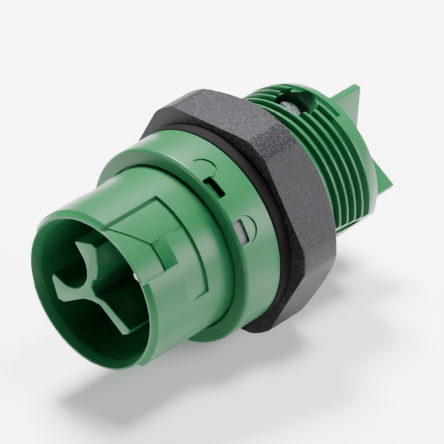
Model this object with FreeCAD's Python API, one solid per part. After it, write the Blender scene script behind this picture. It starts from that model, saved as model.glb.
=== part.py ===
import FreeCAD, Part
import math
import os

os.makedirs("parts", exist_ok=True)

# Frame: the connector axis is Y, the mating mouth looks towards -Y, +Z is up.
# The origin is on the axis in the plane of the collar's front face, where the mated connector stops.
# Polar angles run from +X towards +Z. All sizes are millimetres and degrees.

# Shroud
SHROUD_LENGTH = 14.83
SHROUD_BORE_R = 10.1
SHROUD_WALL = 1.55
RIM_DROP = 0.6
RIM_CHAMFER_LENGTH = 0.7
MOUTH_FLARE = 0.65
MOUTH_FLARE_LENGTH = 1.2
CHAMBER_DEPTH = 19.34

# Latch recesses in the outside of the shroud
RECESS_CENTRES = (53.5, 173.5, 293.5)
RECESS_LEFT_DEG = 24.5
RECESS_STEP_DEG = -1.9
RECESS_RIGHT_DEG = -22.5
RECESS_END_DEG = -50.5
RECESS_DEPTH_FRONT = 0.67
RECESS_DEPTH_LANE = 0.5
RECESS_DEPTH_POCKET = 0.42
RECESS_LENGTH = 10.14
RIDGE_SETBACK = 6.39
RAMP_SETBACK = 4.44
LEAD_SLOPE = 0.69

# Collar
COLLAR_LENGTH = 6.51
COLLAR_HEIGHT = 1.78
COLLAR_EDGE_R = 0.5
ROOT_GROOVE_WIDTH = 0.4
ROOT_GROOVE_DEPTH = 1.0

# Threaded tube with its side flat
TUBE_LENGTH = 22.3
TUBE_WALL = 3.15
THREAD_PITCH = 1.5
THREAD_DEPTH = 0.88
THREAD_CREST_WIDTH = 0.42
THREAD_ROOT_WIDTH = 0.72
THREAD_END_ANGLE = 60.0
THREAD_END_SETBACK = 1.96
END_CONE_LENGTH = 2.4
END_CONE_DROP = 0.8
LEDGE_WIDTH = 0.85
LEDGE_THICKNESS = 1.5
FLAT_ANGLE = -44.0
FLAT_LENGTH = 9.3
FLAT_DEPTH = 2.75
FLAT_TAPER_DEG = 5.7
SNAP_GROOVE_WIDTH = 1.0
SNAP_GROOVE_DEPTH = 0.3
SNAP_GROOVE_INSET = 0.3
SNAP_NOSE_DEG = 20.0
KEY_WIDTH = 2.4
KEY_HEIGHT = 0.65
KEY_ANGLE = 250.0

# Lock slide, its channel in the collar and the two padlock marks
SLIDE_ANGLE = 30.7
SLIDE_TRAVEL_DEG = 28.0
SLIDE_ARC_DEG = 23.0
SLIDE_PLAY_DEG = 1.2
SLIDE_THICKNESS = 0.7
SLIDE_SKIN = 0.36
WINDOW_WIDTH = 3.34
WINDOW_LENGTH = 1.65
WINDOW_SETBACK = 0.31
WINDOW_CORNER_R = 0.3
SHACKLE_R = 1.75
SHACKLE_WIDTH = 0.36
SHACKLE_DEPTH = 0.18
OPEN_SHACKLE_SHIFT_DEG = 12.2

# Contacts and clamps
POLE_NAMES = ("earth", "line", "neutral")
POLE_ANGLES = (30.0, 150.0, 270.0)
PIN_SETBACKS = (4.04, 10.74, 10.74)
POLE_R = 5.3
PIN_R = 1.25
PIN_TIP_ROUND = 0.875
PIN_SHOULDER = 0.2
PIN_FLANGE_WIDTH = 0.65
PIN_FLANGE_LENGTH = 1.6
TAIL_WIDTH = 3.0
TAIL_THICKNESS = 1.1
TAIL_SETBACK = 0.4
CLAMP_OPENING_WIDTH = 3.4
CLAMP_OPENING_HEIGHT = 3.7
CLAMP_LENGTH = 6.8
CLAMP_WALL = 1.0
CLAMP_ROOF = 1.7
CLAMP_DROP = 1.9
SCREW_SETBACK = 3.8
SCREW_SHANK_R = 1.5
SCREW_SHANK_LENGTH = 4.4
SCREW_HEAD_EDGE = 0.5
SCREW_HEAD_LENGTH = 1.6
SCREW_SLOT_WIDTH = 0.7
SCREW_SLOT_DEPTH = 0.9
SCREW_HOLE_ROOM = 0.75
GUARD_WIDTH = 3.0
GUARD_LENGTH = 5.0
GUARD_THICKNESS = 0.35
GUARD_ROOM = 0.1

# Carrier, seal and wire divider
DIVIDER_SKIN = 0.302
SEAL_SETBACK = 6.5
SEAL_WIRE_R = 0.62
DIVIDER_INSET = 0.3
FUNNEL_LENGTH = 1.0
FUNNEL_FLARE = 1.35
WING_ANGLES = (85.5, 205.5, 325.5)
WING_THICKNESS = 1.0
WING_SETBACK = 0.3
WING_LENGTH = 8.4
WING_TIP_R = 0.3
PARTITION_SETBACK = 0.3
PARTITION_REACH = 7.73

# Gasket and nut
GASKET_WIDTH = 1.85
GASKET_THICKNESS = 1.93
GASKET_EDGE_R = 0.35
NUT_WALL = 2.84
NUT_LENGTH = 7.85
NUT_CORNER_TRIM = 0.95
NUT_CHAMFER = 0.45
NUT_REAR_CHAMFER_LENGTH = 1.5
NUT_REAR_CHAMFER_DROP = 1.6
NUT_ANGLE = 31.6
NUT_MOUTH = 0.6

# Clearances between pieces
RUNNING_GAP = 0.06
SEAT_GAP = 0.02
INSERT_GAP = 0.05
GASKET_GAP = 0.1

ORIGIN = FreeCAD.Vector(0, 0, 0)
AXIS = FreeCAD.Vector(0, 1, 0)
POLAR = FreeCAD.Vector(0, -1, 0)
SCREW_AXIS = FreeCAD.Vector(0, 0, -1)
FAR = 4 * (SHROUD_BORE_R + SHROUD_WALL)

# Places that follow from the sizes
rim_y = -SHROUD_LENGTH
shroud_r = SHROUD_BORE_R + SHROUD_WALL
floor_y = rim_y + CHAMBER_DEPTH
ledge_rear = floor_y + LEDGE_THICKNESS
tube_end = COLLAR_LENGTH + TUBE_LENGTH
divider_end = tube_end - DIVIDER_INSET
clamp_end = divider_end - FUNNEL_LENGTH
carrier_end = clamp_end - CLAMP_LENGTH
screw_y = carrier_end + SCREW_SETBACK
opening_floor = -CLAMP_DROP
opening_top = CLAMP_OPENING_HEIGHT - CLAMP_DROP
clamp_bottom = opening_floor - CLAMP_WALL
clamp_top = opening_top + CLAMP_ROOF
clamp_half = CLAMP_OPENING_WIDTH / 2 + CLAMP_WALL
screw_head_r = SCREW_SHANK_R + SCREW_HEAD_EDGE
insert_r = math.hypot(POLE_R + clamp_half + INSERT_GAP, clamp_top + INSERT_GAP) + DIVIDER_SKIN
tube_bore_r = insert_r + INSERT_GAP
ledge_r = tube_bore_r - LEDGE_WIDTH
thread_r = tube_bore_r + TUBE_WALL
root_r = shroud_r + ROOT_GROOVE_WIDTH
collar_r = thread_r + COLLAR_HEIGHT


def turn_to(shape, angle):
    """Copy of a shape turned about the connector axis."""
    copy = shape.copy()
    copy.rotate(ORIGIN, POLAR, angle)
    return copy


def turned(points, start=0.0, sweep=360.0):
    """Solid swept about the connector axis from (radius, y) corners."""
    corners = [FreeCAD.Vector(radius, y, 0) for radius, y in points]
    face = Part.Face(Part.makePolygon(corners + corners[:1]))
    return turn_to(face.revolve(ORIGIN, POLAR, sweep), start)


def ring(inner, outer, front, rear, start=0.0, sweep=360.0):
    """Ring, or part of one, between two radii and two axial positions."""
    return turned([(inner, front), (outer, front), (outer, rear), (inner, rear)], start, sweep)


def rod(radius, front, rear):
    """Round bar on the connector axis."""
    return Part.makeCylinder(radius, rear - front, FreeCAD.Vector(0, front, 0), AXIS)


def pole_box(half_width, screw, axial):
    """Block at the pole on +X: half its width outwards, then spans along the screw and the axis."""
    corner = FreeCAD.Vector(POLE_R - half_width, axial[0], -screw[1])
    return Part.makeBox(2 * half_width, axial[1] - axial[0], screw[1] - screw[0], corner)


def pole_rod(radius, front, rear):
    """Round bar along the connector axis at the pole on +X."""
    return Part.makeCylinder(radius, rear - front, FreeCAD.Vector(POLE_R, front, 0), AXIS)


def screw_rod(radius, start, end):
    """Round bar along the clamp screw of the pole on +X."""
    base = FreeCAD.Vector(POLE_R, screw_y, -start)
    return Part.makeCylinder(radius, end - start, base, SCREW_AXIS)


def at_each(shape, angles):
    """Copies of a shape turned to each polar angle."""
    return [turn_to(shape, angle) for angle in angles]


def circles(shape, radius, y):
    """Round edges of a shape with this radius at this axial position."""
    found = []
    for edge in shape.Edges:
        curve = edge.Curve
        if isinstance(curve, Part.Circle) and abs(curve.Radius - radius) < 0.001:
            if abs(curve.Center.y - y) < 0.001:
                found.append(edge)
    return found


def save(name, shape):
    """One solid, written to its own file."""
    solid = shape.removeSplitter()
    if solid.ShapeType == "Compound":
        solid = solid.Solids[0]
    solid.exportStep("parts/" + name + ".step")


# Body of the housing
body = turned([
    (SHROUD_BORE_R + MOUTH_FLARE, rim_y),
    (shroud_r - RIM_DROP, rim_y),
    (shroud_r, rim_y + RIM_CHAMFER_LENGTH),
    (shroud_r, ROOT_GROOVE_DEPTH),
    (root_r, ROOT_GROOVE_DEPTH),
    (root_r, 0),
    (collar_r, 0),
    (collar_r, COLLAR_LENGTH),
    (thread_r, COLLAR_LENGTH),
    (thread_r, tube_end),
    (tube_bore_r, tube_end),
    (tube_bore_r, ledge_rear),
    (ledge_r, ledge_rear),
    (ledge_r, floor_y),
    (SHROUD_BORE_R, floor_y),
    (SHROUD_BORE_R, rim_y + MOUTH_FLARE_LENGTH),
])
body = body.makeFillet(COLLAR_EDGE_R, circles(body, collar_r, 0))

# Latch recess around polar angle 0: lead-in, lane, ramp and pocket
front_r = shroud_r - RECESS_DEPTH_FRONT
lane_r = shroud_r - RECESS_DEPTH_LANE
pocket_r = shroud_r - RECESS_DEPTH_POCKET
before_rim = rim_y - 1
ramp_foot = rim_y + RAMP_SETBACK
ridge_y = rim_y + RIDGE_SETBACK
recess_back = rim_y + RECESS_LENGTH
lead_in = ring(
    front_r,
    FAR,
    before_rim,
    ramp_foot,
    RECESS_RIGHT_DEG,
    RECESS_LEFT_DEG - RECESS_RIGHT_DEG,
)
step_x = shroud_r * math.sin(math.radians(RECESS_STEP_DEG))
lead_corners = [
    FreeCAD.Vector(0, ramp_foot, -FAR),
    FreeCAD.Vector(0, ramp_foot, step_x),
    FreeCAD.Vector(0, ramp_foot - LEAD_SLOPE * FAR, step_x + FAR),
    FreeCAD.Vector(0, ramp_foot - LEAD_SLOPE * FAR, -FAR),
]
lead_face = Part.Face(Part.makePolygon(lead_corners + lead_corners[:1]))
lead_in = lead_in.common(lead_face.extrude(FreeCAD.Vector(FAR, 0, 0)))
lane = ring(lane_r, FAR, before_rim, recess_back, RECESS_STEP_DEG, RECESS_LEFT_DEG - RECESS_STEP_DEG)
ramp = turned(
    [(front_r, ramp_foot), (shroud_r, ridge_y), (FAR, ridge_y), (FAR, ramp_foot)],
    RECESS_RIGHT_DEG,
    RECESS_STEP_DEG - RECESS_RIGHT_DEG,
)
pocket = turned(
    [(shroud_r, ridge_y), (pocket_r, recess_back), (FAR, recess_back), (FAR, ridge_y)],
    RECESS_END_DEG,
    RECESS_STEP_DEG - RECESS_END_DEG,
)
recess = lead_in.fuse([lane, ramp, pocket])
body = body.cut(at_each(recess, RECESS_CENTRES))

# Channel of the lock slide, with a window at each end and a padlock bow behind each window
channel_outer = collar_r - SLIDE_SKIN
channel_inner = channel_outer - SLIDE_THICKNESS - 2 * RUNNING_GAP
window_rear = WINDOW_SETBACK + WINDOW_LENGTH
channel = ring(
    channel_inner,
    channel_outer,
    WINDOW_SETBACK,
    COLLAR_LENGTH,
    SLIDE_ANGLE - SLIDE_ARC_DEG / 2 - SLIDE_PLAY_DEG,
    SLIDE_ARC_DEG + SLIDE_TRAVEL_DEG + 2 * SLIDE_PLAY_DEG,
)
window = Part.makeBox(
    FAR,
    WINDOW_LENGTH,
    WINDOW_WIDTH,
    FreeCAD.Vector(channel_outer - SLIDE_THICKNESS / 2, WINDOW_SETBACK, -WINDOW_WIDTH / 2),
)
window_edges = [edge for edge in window.Edges if abs(edge.tangentAt(0).x) > 0.9]
window = window.makeFillet(WINDOW_CORNER_R, window_edges)
bow_base = FreeCAD.Vector(collar_r - SHACKLE_DEPTH, window_rear, 0)
bow_outer = Part.makeCylinder(SHACKLE_R + SHACKLE_WIDTH / 2, FAR, bow_base, FreeCAD.Vector(1, 0, 0))
bow_inner = Part.makeCylinder(SHACKLE_R - SHACKLE_WIDTH / 2, FAR, bow_base, FreeCAD.Vector(1, 0, 0))
behind_window = Part.makeBox(FAR, FAR, 2 * FAR, FreeCAD.Vector(0, window_rear, -FAR))
bow = bow_outer.cut(bow_inner).common(behind_window)
open_angle = SLIDE_ANGLE + SLIDE_TRAVEL_DEG
body = body.cut(channel)
body = body.cut(at_each(window, (SLIDE_ANGLE, open_angle)))
body = body.cut(at_each(bow, (SLIDE_ANGLE, open_angle + OPEN_SHACKLE_SHIFT_DEG)))

# Groove of the right-hand mounting thread, which runs forwards from its end near the cone
thread_end = tube_end - THREAD_END_SETBACK
thread_turns = math.floor((thread_end - COLLAR_LENGTH) / THREAD_PITCH - 1)
thread_start = thread_end - thread_turns * THREAD_PITCH
groove_mouth = THREAD_PITCH - THREAD_CREST_WIDTH
groove_floor = groove_mouth - THREAD_ROOT_WIDTH + THREAD_CREST_WIDTH
groove_slope = (groove_mouth - groove_floor) / THREAD_DEPTH
groove_over = groove_mouth + THREAD_CREST_WIDTH / 2 * groove_slope
groove_corners = [
    FreeCAD.Vector(thread_r - THREAD_DEPTH, 0, -groove_floor / 2),
    FreeCAD.Vector(thread_r - THREAD_DEPTH, 0, groove_floor / 2),
    FreeCAD.Vector(thread_r + THREAD_CREST_WIDTH / 2, 0, groove_over / 2),
    FreeCAD.Vector(thread_r + THREAD_CREST_WIDTH / 2, 0, -groove_over / 2),
]
groove_section = Part.makePolygon(groove_corners + groove_corners[:1])
groove_path = Part.Wire(Part.makeHelix(THREAD_PITCH, thread_end - thread_start, thread_r))
groove = groove_path.makePipeShell([groove_section], True, True)
groove.rotate(ORIGIN, FreeCAD.Vector(1, 0, 0), -90)
groove.translate(FreeCAD.Vector(0, thread_start, 0))
body = body.cut(turn_to(groove, THREAD_END_ANGLE))

# Cone at the end of the tube
cone = turned([
    (thread_r, tube_end - END_CONE_LENGTH),
    (thread_r - END_CONE_DROP, tube_end),
    (FAR, tube_end),
    (FAR, tube_end - END_CONE_LENGTH),
])
body = body.cut(cone)

# Screw access holes, side flat, snap groove and key slot of the tube
hole = screw_rod(screw_head_r + SCREW_HOLE_ROOM, clamp_top, FAR)
body = body.cut(at_each(hole, POLE_ANGLES))
flat_start = tube_end - FLAT_LENGTH
flat_r = thread_r - FLAT_DEPTH
flat = Part.makeBox(FAR, FAR, 2 * FAR, FreeCAD.Vector(flat_r, flat_start, -FAR))
flat.rotate(FreeCAD.Vector(flat_r, flat_start, 0), FreeCAD.Vector(0, 0, 1), -FLAT_TAPER_DEG)
flat = flat.common(Part.makeBox(FAR, FAR, 2 * FAR, FreeCAD.Vector(0, flat_start, -FAR)))
snap_rear = divider_end - SNAP_GROOVE_INSET
snap_front = snap_rear - SNAP_GROOVE_WIDTH
snap_r = tube_bore_r + SNAP_GROOVE_DEPTH
snap_groove = ring(ledge_r, snap_r, snap_front, snap_rear)
key_slot = Part.makeBox(
    ledge_r + KEY_HEIGHT + INSERT_GAP,
    LEDGE_THICKNESS,
    KEY_WIDTH,
    FreeCAD.Vector(0, floor_y, -KEY_WIDTH / 2),
)
body = body.cut([turn_to(flat, FLAT_ANGLE), snap_groove, turn_to(key_slot, KEY_ANGLE)])
save("housing", body)

# Lock slide
save("lock_slide", ring(
    channel_inner + RUNNING_GAP,
    channel_outer - RUNNING_GAP,
    WINDOW_SETBACK + RUNNING_GAP,
    COLLAR_LENGTH - RUNNING_GAP,
    SLIDE_ANGLE - SLIDE_ARC_DEG / 2,
    SLIDE_ARC_DEG,
))


def corner(x, z):
    """Point of the partition's outline on its front face, for a reach of 7.73."""
    scale = PARTITION_REACH / 7.73
    return FreeCAD.Vector(x * scale, rim_y + PARTITION_SETBACK, z * scale)


# Partition of the carrier
jaw = Part.Arc(corner(-4.95, -0.9), corner(-1.15, 1.2), corner(-1.75, 5.2)).toShape()
partition_side = [
    corner(-1.75, 5.2),
    corner(-2.85, 6.5),
    corner(-2.8, 6.85),
    corner(0.1, 7.73),
    corner(1.0, 7.4),
    corner(1.22, 3.98),
    corner(0.97, 2.6),
    corner(0.2, 1.9),
    corner(0.0, 0.87),
    corner(0.7, -0.2),
    corner(2.37, -0.3),
    corner(6.85, -2.75),
    corner(6.5, -3.55),
    corner(5.5, -4.15),
    corner(1.41, -1.25),
    corner(-0.08, -1.3),
    corner(-1.57, -1.65),
    corner(-5.22, -3.86),
    corner(-6.35, -3.82),
    corner(-7.37, -0.9),
    corner(-7.04, -0.1),
    corner(-4.95, -0.9),
]
outline = Part.Wire([jaw] + Part.makePolygon(partition_side).Edges)
partition_depth = ledge_rear - rim_y - PARTITION_SETBACK
partition = Part.Face(outline).extrude(FreeCAD.Vector(0, partition_depth, 0))

# Carrier with pin bores, seal groove and key
seal_r = tube_bore_r - SEAT_GAP - SEAL_WIRE_R
seal_y = ledge_rear + SEAL_SETBACK
seal_half = SEAL_WIRE_R + INSERT_GAP
key = Part.makeBox(
    ledge_r + KEY_HEIGHT,
    LEDGE_THICKNESS,
    KEY_WIDTH - 2 * INSERT_GAP,
    FreeCAD.Vector(0, floor_y, INSERT_GAP - KEY_WIDTH / 2),
)
carrier = rod(insert_r, ledge_rear, carrier_end)
carrier = carrier.fuse([rod(ledge_r - INSERT_GAP, floor_y, carrier_end), partition, turn_to(key, KEY_ANGLE)])
seal_floor = seal_r - SEAL_WIRE_R - SEAT_GAP
carrier = carrier.cut(ring(seal_floor, FAR, seal_y - seal_half, seal_y + seal_half))
flange_front = carrier_end - PIN_FLANGE_LENGTH
shank_r = PIN_R + PIN_SHOULDER
flange_r = shank_r + PIN_FLANGE_WIDTH
pin_bore = pole_rod(shank_r + SEAT_GAP, rim_y, carrier_end)
flange_bore = pole_rod(flange_r + SEAT_GAP, flange_front - SEAT_GAP, carrier_end)
carrier = carrier.cut(at_each(pin_bore.fuse(flange_bore), POLE_ANGLES))
save("contact_carrier", carrier)
save("carrier_seal", Part.makeTorus(seal_r, SEAL_WIRE_R, FreeCAD.Vector(0, seal_y, 0), AXIS))

# Wire divider: clamp pockets, screw holes, wire funnels, snap noses and the three wings
pocket_box = pole_box(
    clamp_half + INSERT_GAP,
    (clamp_bottom - INSERT_GAP, clamp_top + INSERT_GAP),
    (carrier_end - 1, clamp_end + INSERT_GAP),
)
throat_r = CLAMP_OPENING_HEIGHT / 2
funnel = Part.makeCone(
    throat_r,
    throat_r + FUNNEL_FLARE,
    FUNNEL_LENGTH,
    FreeCAD.Vector(POLE_R, clamp_end, 0),
    AXIS,
)
nose = ring(
    insert_r - SNAP_GROOVE_DEPTH,
    snap_r - INSERT_GAP,
    snap_front + INSERT_GAP,
    snap_rear - INSERT_GAP,
    -SNAP_NOSE_DEG / 2,
    SNAP_NOSE_DEG,
)
wing_r = insert_r - WING_SETBACK
wing = Part.makeBox(
    wing_r,
    WING_LENGTH + FUNNEL_LENGTH,
    WING_THICKNESS,
    FreeCAD.Vector(0, clamp_end, -WING_THICKNESS / 2),
)
wing_tip = [edge for edge in wing.Edges if edge.CenterOfMass.x > wing_r - 0.01]
wing_tip = [edge for edge in wing_tip if abs(edge.tangentAt(0).y) > 0.9]
wing = wing.makeFillet(WING_TIP_R, wing_tip)
divider = rod(insert_r, carrier_end, divider_end).fuse(at_each(nose, POLE_ANGLES))
divider = divider.cut(at_each(pocket_box.fuse([hole, funnel]), POLE_ANGLES))
divider = divider.fuse(at_each(wing, WING_ANGLES))
save("wire_divider", divider)

# Clamp frame, screw, wire guard and contact tail at the pole on +X
guard_top = opening_top - GUARD_ROOM
guard = pole_box(
    GUARD_WIDTH / 2,
    (guard_top - GUARD_THICKNESS, guard_top),
    (screw_y - GUARD_LENGTH / 2, screw_y + GUARD_LENGTH / 2),
)
clamp_body = pole_box(clamp_half, (clamp_bottom, clamp_top), (carrier_end + SEAT_GAP, clamp_end))
clamp_opening = pole_box(
    CLAMP_OPENING_WIDTH / 2,
    (opening_floor, opening_top),
    (carrier_end - 1, clamp_end + 1),
)
clamp_body = clamp_body.cut([clamp_opening, screw_rod(SCREW_SHANK_R + RUNNING_GAP, 0, FAR)])
shank_start = guard_top + SEAT_GAP
shank_end = shank_start + SCREW_SHANK_LENGTH
head_end = shank_end + SCREW_HEAD_LENGTH
screw = screw_rod(SCREW_SHANK_R, shank_start, head_end)
screw = screw.fuse(screw_rod(screw_head_r, shank_end, head_end))
slot = Part.makeBox(
    2 * screw_head_r,
    SCREW_SLOT_WIDTH,
    SCREW_SLOT_DEPTH,
    FreeCAD.Vector(POLE_R - screw_head_r, screw_y - SCREW_SLOT_WIDTH / 2, -head_end),
)
screw = screw.cut(slot)
tail_floor = opening_floor + SEAT_GAP
tail = pole_box(
    TAIL_WIDTH / 2,
    (tail_floor, tail_floor + TAIL_THICKNESS),
    (carrier_end, clamp_end - TAIL_SETBACK),
)
tail = tail.fuse([pole_rod(flange_r, flange_front, carrier_end), pole_rod(shank_r, floor_y, carrier_end)])

for name, angle, setback in zip(POLE_NAMES, POLE_ANGLES, PIN_SETBACKS):
    tip = rim_y + setback
    stem = pole_rod(PIN_R, tip, carrier_end)
    stem = stem.makeFillet(PIN_TIP_ROUND, [e for e in stem.Edges if abs(e.CenterOfMass.y - tip) < 0.001])
    save(name + "_pin", turn_to(stem.fuse(tail), angle))
    save(name + "_clamp_body", turn_to(clamp_body, angle))
    save(name + "_clamp_screw", turn_to(screw, angle))
    save(name + "_wire_guard", turn_to(guard, angle))

# Gasket
gasket_bore = thread_r + GASKET_GAP
gasket_r = gasket_bore + GASKET_WIDTH
gasket_rear = COLLAR_LENGTH + GASKET_THICKNESS
gasket = ring(gasket_bore, gasket_r, COLLAR_LENGTH, gasket_rear)
gasket = gasket.makeFillet(GASKET_EDGE_R, circles(gasket, gasket_r, gasket_rear))
save("panel_gasket", gasket)

# Lock nut: hexagon with turned corners, both bore mouths chamfered
nut_front = gasket_rear + SEAT_GAP
nut_rear = nut_front + NUT_LENGTH
nut_bore = thread_r + RUNNING_GAP
hexagon_r = (nut_bore + NUT_WALL) / math.cos(math.radians(30))
nut_r = hexagon_r - NUT_CORNER_TRIM
hexagon = [FreeCAD.Vector(hexagon_r, nut_front, 0)]
for side in range(1, 7):
    bend = math.radians(60 * side)
    hexagon.append(FreeCAD.Vector(hexagon_r * math.cos(bend), nut_front, hexagon_r * math.sin(bend)))
prism = Part.Face(Part.makePolygon(hexagon)).extrude(FreeCAD.Vector(0, NUT_LENGTH, 0))
nut_turning = turned([
    (nut_bore + NUT_MOUTH, nut_front),
    (nut_r - NUT_CHAMFER, nut_front),
    (nut_r, nut_front + NUT_CHAMFER),
    (nut_r, nut_rear - NUT_REAR_CHAMFER_LENGTH),
    (nut_r - NUT_REAR_CHAMFER_DROP, nut_rear),
    (nut_bore + NUT_MOUTH, nut_rear),
    (nut_bore, nut_rear - NUT_MOUTH),
    (nut_bore, nut_front + NUT_MOUTH),
])
save("lock_nut", turn_to(prism, NUT_ANGLE + 30).common(nut_turning))
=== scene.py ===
"""Lighting connector: a panel-mounted three-pole plug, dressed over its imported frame.

The connector axis is Y and its mating mouth looks towards -Y. Sizes are millimetres and degrees.
Polar angles run from +X towards +Z.
"""

from __future__ import annotations

import cmath
import logging
import math
from dataclasses import dataclass, field
from enum import Enum
from typing import Callable, Mapping, Sequence

import bmesh
import bpy
from bpy.types import Material, Node, NodeSocket, NodeTree, Object
from mathutils import Matrix, Vector

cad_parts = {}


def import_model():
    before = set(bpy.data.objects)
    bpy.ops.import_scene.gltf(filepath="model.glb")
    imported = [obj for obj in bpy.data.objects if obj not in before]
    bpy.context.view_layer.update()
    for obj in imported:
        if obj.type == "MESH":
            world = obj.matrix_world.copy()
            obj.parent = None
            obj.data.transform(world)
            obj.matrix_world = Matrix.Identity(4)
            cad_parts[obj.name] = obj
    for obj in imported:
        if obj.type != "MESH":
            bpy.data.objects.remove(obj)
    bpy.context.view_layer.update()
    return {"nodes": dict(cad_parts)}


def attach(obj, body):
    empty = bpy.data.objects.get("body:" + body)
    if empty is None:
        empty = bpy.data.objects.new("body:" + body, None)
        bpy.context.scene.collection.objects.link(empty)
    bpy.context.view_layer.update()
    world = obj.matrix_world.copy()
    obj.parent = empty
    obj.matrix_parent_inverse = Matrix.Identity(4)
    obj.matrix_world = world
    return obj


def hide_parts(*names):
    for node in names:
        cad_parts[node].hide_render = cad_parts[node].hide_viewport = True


LOG = logging.getLogger("lighting_connector")
MM = 0.001
ORIGIN, X, Y, Z = Vector(), Vector((1, 0, 0)), Vector((0, 1, 0)), Vector((0, 0, 1))
# Cutters reach out to this radius, past every outer face that they cut.
BEYOND = 16.0
# Distance of the contacts from the axis, and axial place of the clamp screws and their access holes.
POLE_R = 5.3
SCREW_Y = 24.51
# Places closer than this count as the same.
NEAR = 0.01
Point = tuple[float, float]
Loop = Sequence[Point]
Axes = tuple[Vector, Vector, Vector]


class Pole(Enum):
    """The three contacts, by their polar angle."""

    EARTH = 30.0
    LINE = 150.0
    NEUTRAL = 270.0

    @property
    def label(self) -> str:
        """Name that the pole's nodes and bodies start with."""
        return self.name.lower()

    @property
    def place(self) -> Vector:
        """Middle of the contact."""
        return outward(self.value) * POLE_R

    @property
    def screw_axes(self) -> Axes:
        """Outward, along the connector and along the clamp screw."""
        return outward(self.value), Y, -sideways(self.value)


class Cut(Enum):
    """How a cutter acts on a piece."""

    AWAY = "DIFFERENCE"
    ONTO = "UNION"


# Places and small shapes


def linear(code: str) -> tuple[float, float, float, float]:
    """Turn an sRGB hex colour into linear values.

    Args:
        code: Colour as "#rrggbb".

    Returns:
        Linear red, green, blue and an alpha of one.
    """
    parts = [int(code[i : i + 2], 16) / 255 for i in (1, 3, 5)]
    red, green, blue = [p / 12.92 if p <= 0.04045 else ((p + 0.055) / 1.055) ** 2.4 for p in parts]
    return red, green, blue, 1.0


def outward(angle: float) -> Vector:
    """Direction away from the axis at a polar angle."""
    turn = math.radians(angle)
    return Vector((math.cos(turn), 0, math.sin(turn)))


def sideways(angle: float) -> Vector:
    """Direction along the circumference, towards growing polar angles."""
    return outward(angle + 90)


def facing(angle: float) -> Axes:
    """Directions for an outline that looks outwards at a polar angle."""
    return sideways(angle), Y, outward(angle)


def crossing(angle: float) -> Axes:
    """Directions for an outline that runs outwards at a polar angle."""
    return outward(angle), Y, sideways(angle)


def pose(axes: Axes, place: Vector) -> Matrix:
    """Matrix that turns X, Y and Z to three directions and moves the origin to a place in millimetres."""
    made = Matrix(axes).transposed().to_4x4()
    made.translation = place * MM
    return made


def ease(value: float) -> float:
    """Smooth step from 0 to 1 as the value goes from 0 to 1."""
    held = min(max(value, 0.0), 1.0)
    return held * held * (3 - 2 * held)


def soft_min(first: float, second: float, blend: float) -> float:
    """Smaller of two lengths, rounded where they cross.

    Args:
        first: One length.
        second: Other length.
        blend: Length over which the crossing is rounded.

    Returns:
        The rounded smaller length.
    """
    mix = max(blend - abs(first - second), 0.0) / blend
    return min(first, second) - mix * mix * blend / 4


def spread(marks: Sequence[float], step: float) -> list[float]:
    """Fill the room between sorted marks with even steps.

    Args:
        marks: Positions that are kept.
        step: Longest step between two positions.

    Returns:
        All positions, sorted.
    """
    filled: list[float] = []
    kept = sorted(marks)
    for low, high in zip(kept, kept[1:]):
        count = max(1, math.ceil((high - low) / step - 1e-6))
        filled += [low + (high - low) * i / count for i in range(count)]
    return filled + kept[-1:]


def around(count: int) -> list[float]:
    """Evenly spread polar angles of a full turn."""
    return [360 * i / count for i in range(count)]


def rounded(corners: Loop, radius: float, steps: int = 4) -> list[Point]:
    """Round every corner of a closed outline.

    Args:
        corners: Corners in order.
        radius: Distance from a corner at which its rounding starts.
        steps: Chords in each rounding.

    Returns:
        Points of the rounded outline.
    """
    points: list[Point] = []
    for i, corner in enumerate(corners):
        here = Vector(corner)
        before = Vector(corners[i - 1]) - here
        after = Vector(corners[(i + 1) % len(corners)]) - here
        reach = min(radius, 0.49 * before.length, 0.49 * after.length)
        start = here + before.normalized() * reach
        end = here + after.normalized() * reach
        for k in range(steps + 1):
            t = k / steps
            spot = start * (1 - t) ** 2 + here * 2 * t * (1 - t) + end * t * t
            points.append((spot.x, spot.y))
    return points


def arc(radius: float, turns: Sequence[float]) -> list[Point]:
    """Points of a circle at some angles in radians."""
    return [(radius * math.cos(t), radius * math.sin(t)) for t in turns]


def circle(radius: float, count: int) -> list[Point]:
    """Evenly spread points of a full circle."""
    return arc(radius, [2 * math.pi * i / count for i in range(count)])


def oblong(low: Point, high: Point) -> list[Point]:
    """Corners of a rectangle, from its lowest and its highest corner."""
    return [low, (high[0], low[1]), high, (low[0], high[1])]


def solid(name: str, points: Sequence[Vector], faces: Sequence[Sequence[int]]) -> Object:
    """Make a closed mesh object from points in millimetres.

    Args:
        name: Name of the object.
        points: Corner places.
        faces: Corner numbers of each face.

    Returns:
        The object, with its faces turned outwards.
    """
    mesh = bpy.data.meshes.new(name)
    mesh.from_pydata([tuple(p * MM) for p in points], [], [tuple(f) for f in faces])
    made = bpy.data.objects.new(name, mesh)
    bpy.context.scene.collection.objects.link(made)
    tidy_normals(made)
    return made


def tidy_normals(piece: Object) -> None:
    """Merge doubled points of a piece and turn its faces outwards."""
    work = bmesh.new()
    work.from_mesh(piece.data)
    bmesh.ops.remove_doubles(work, verts=work.verts, dist=1e-7)
    bmesh.ops.dissolve_degenerate(work, edges=work.edges, dist=1e-8)
    bmesh.ops.recalc_face_normals(work, faces=work.faces)
    work.to_mesh(piece.data)
    work.free()


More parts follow.
